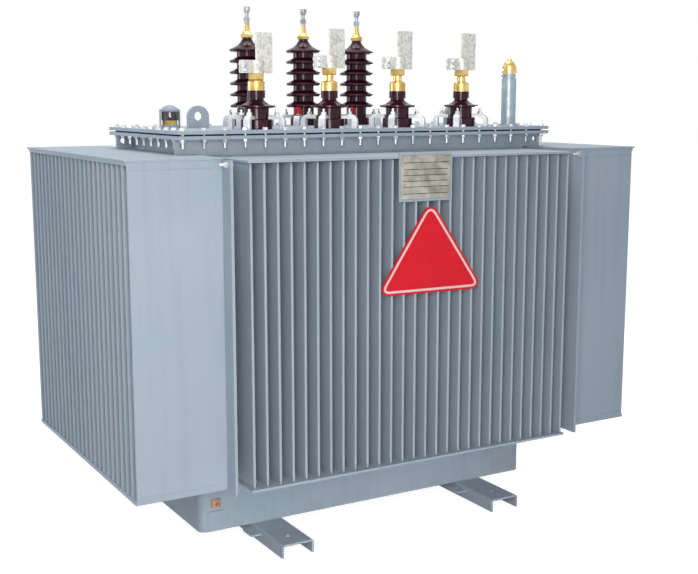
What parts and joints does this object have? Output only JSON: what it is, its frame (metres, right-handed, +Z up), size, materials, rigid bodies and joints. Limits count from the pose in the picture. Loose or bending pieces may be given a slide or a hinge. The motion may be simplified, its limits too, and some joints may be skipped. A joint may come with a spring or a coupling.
{
  "type": "power transformer",
  "caption": "Oil-filled distribution transformer: corrugated tank with fin banks on all sides, bolted lid, porcelain bushings and channel skids.",
  "frame": {"origin": "centre of the footprint, at the level of the skids' undersides", "axes": "+Z up, +X along the tank's length, -Y to the low-voltage side that the picture shows"},
  "size_m": [2.163, 1.312, 1.999],
  "materials": {
    "tank_paint": "light blue-grey enamel, satin",
    "gasket_rubber": "black cork-rubber",
    "brown_porcelain": "dark brown glaze",
    "fitting_brass": "machined, lightly tarnished",
    "stud_steel": "zinc plated",
    "tinned_copper": "tinned, mottled",
    "cast_claws": "sand cast",
    "filler_steel": "zinc plated tube",
    "gauge_glass": "dark sight glass",
    "earth_copper": "bare copper pad",
    "bolt_zinc": "zinc plated hexagon fasteners",
    "sign_enamel": "red enamel with a pale border",
    "plate_metal": "bare stainless plate",
    "red_cap": "red plastic cap"
  },
  "bodies": {
    "root": {"left_skid": "tank_paint", "right_skid": "tank_paint", "tank_skirt": "tank_paint", "tank_body": "tank_paint", "corner_lugs": "tank_paint", "tank_flange": "tank_paint", "lid_gasket": "gasket_rubber", "lid": "tank_paint", "front_fins": "tank_paint", "rear_fins": "tank_paint", "left_fins": "tank_paint", "right_fins": "tank_paint", "front_top_plate": "tank_paint", "rear_top_plate": "tank_paint", "left_top_plate": "tank_paint", "right_top_plate": "tank_paint", "front_bottom_plate": "tank_paint", "rear_bottom_plate": "tank_paint", "hv_claws": "cast_claws", "lv_claws": "cast_claws", "filler_pipe": "filler_steel", "filler_valve": "fitting_brass", "gauge_base": "fitting_brass", "gauge_glass": "gauge_glass", "gauge_cap": "tank_paint", "left_lifting_lug": "tank_paint", "right_lifting_lug": "tank_paint", "earth_pad": "earth_copper", "corner_plate": "tank_paint", "hv_porcelain_1": "brown_porcelain", "hv_cap_1": "fitting_brass", "hv_stud_1": "stud_steel", "hv_porcelain_2": "brown_porcelain", "hv_cap_2": "fitting_brass", "hv_stud_2": "stud_steel", "hv_porcelain_3": "brown_porcelain", "hv_cap_3": "fitting_brass", "hv_stud_3": "stud_steel", "lv_porcelain_1": "brown_porcelain", "lv_stem_1": "fitting_brass", "lv_flag_1": "tinned_copper", "lv_porcelain_2": "brown_porcelain", "lv_stem_2": "fitting_brass", "lv_flag_2": "tinned_copper", "lv_porcelain_3": "brown_porcelain", "lv_stem_3": "fitting_brass", "lv_flag_3": "tinned_copper", "lv_porcelain_4": "brown_porcelain", "lv_stem_4": "fitting_brass", "lv_flag_4": "tinned_copper"}
  },
  "joints": []
}
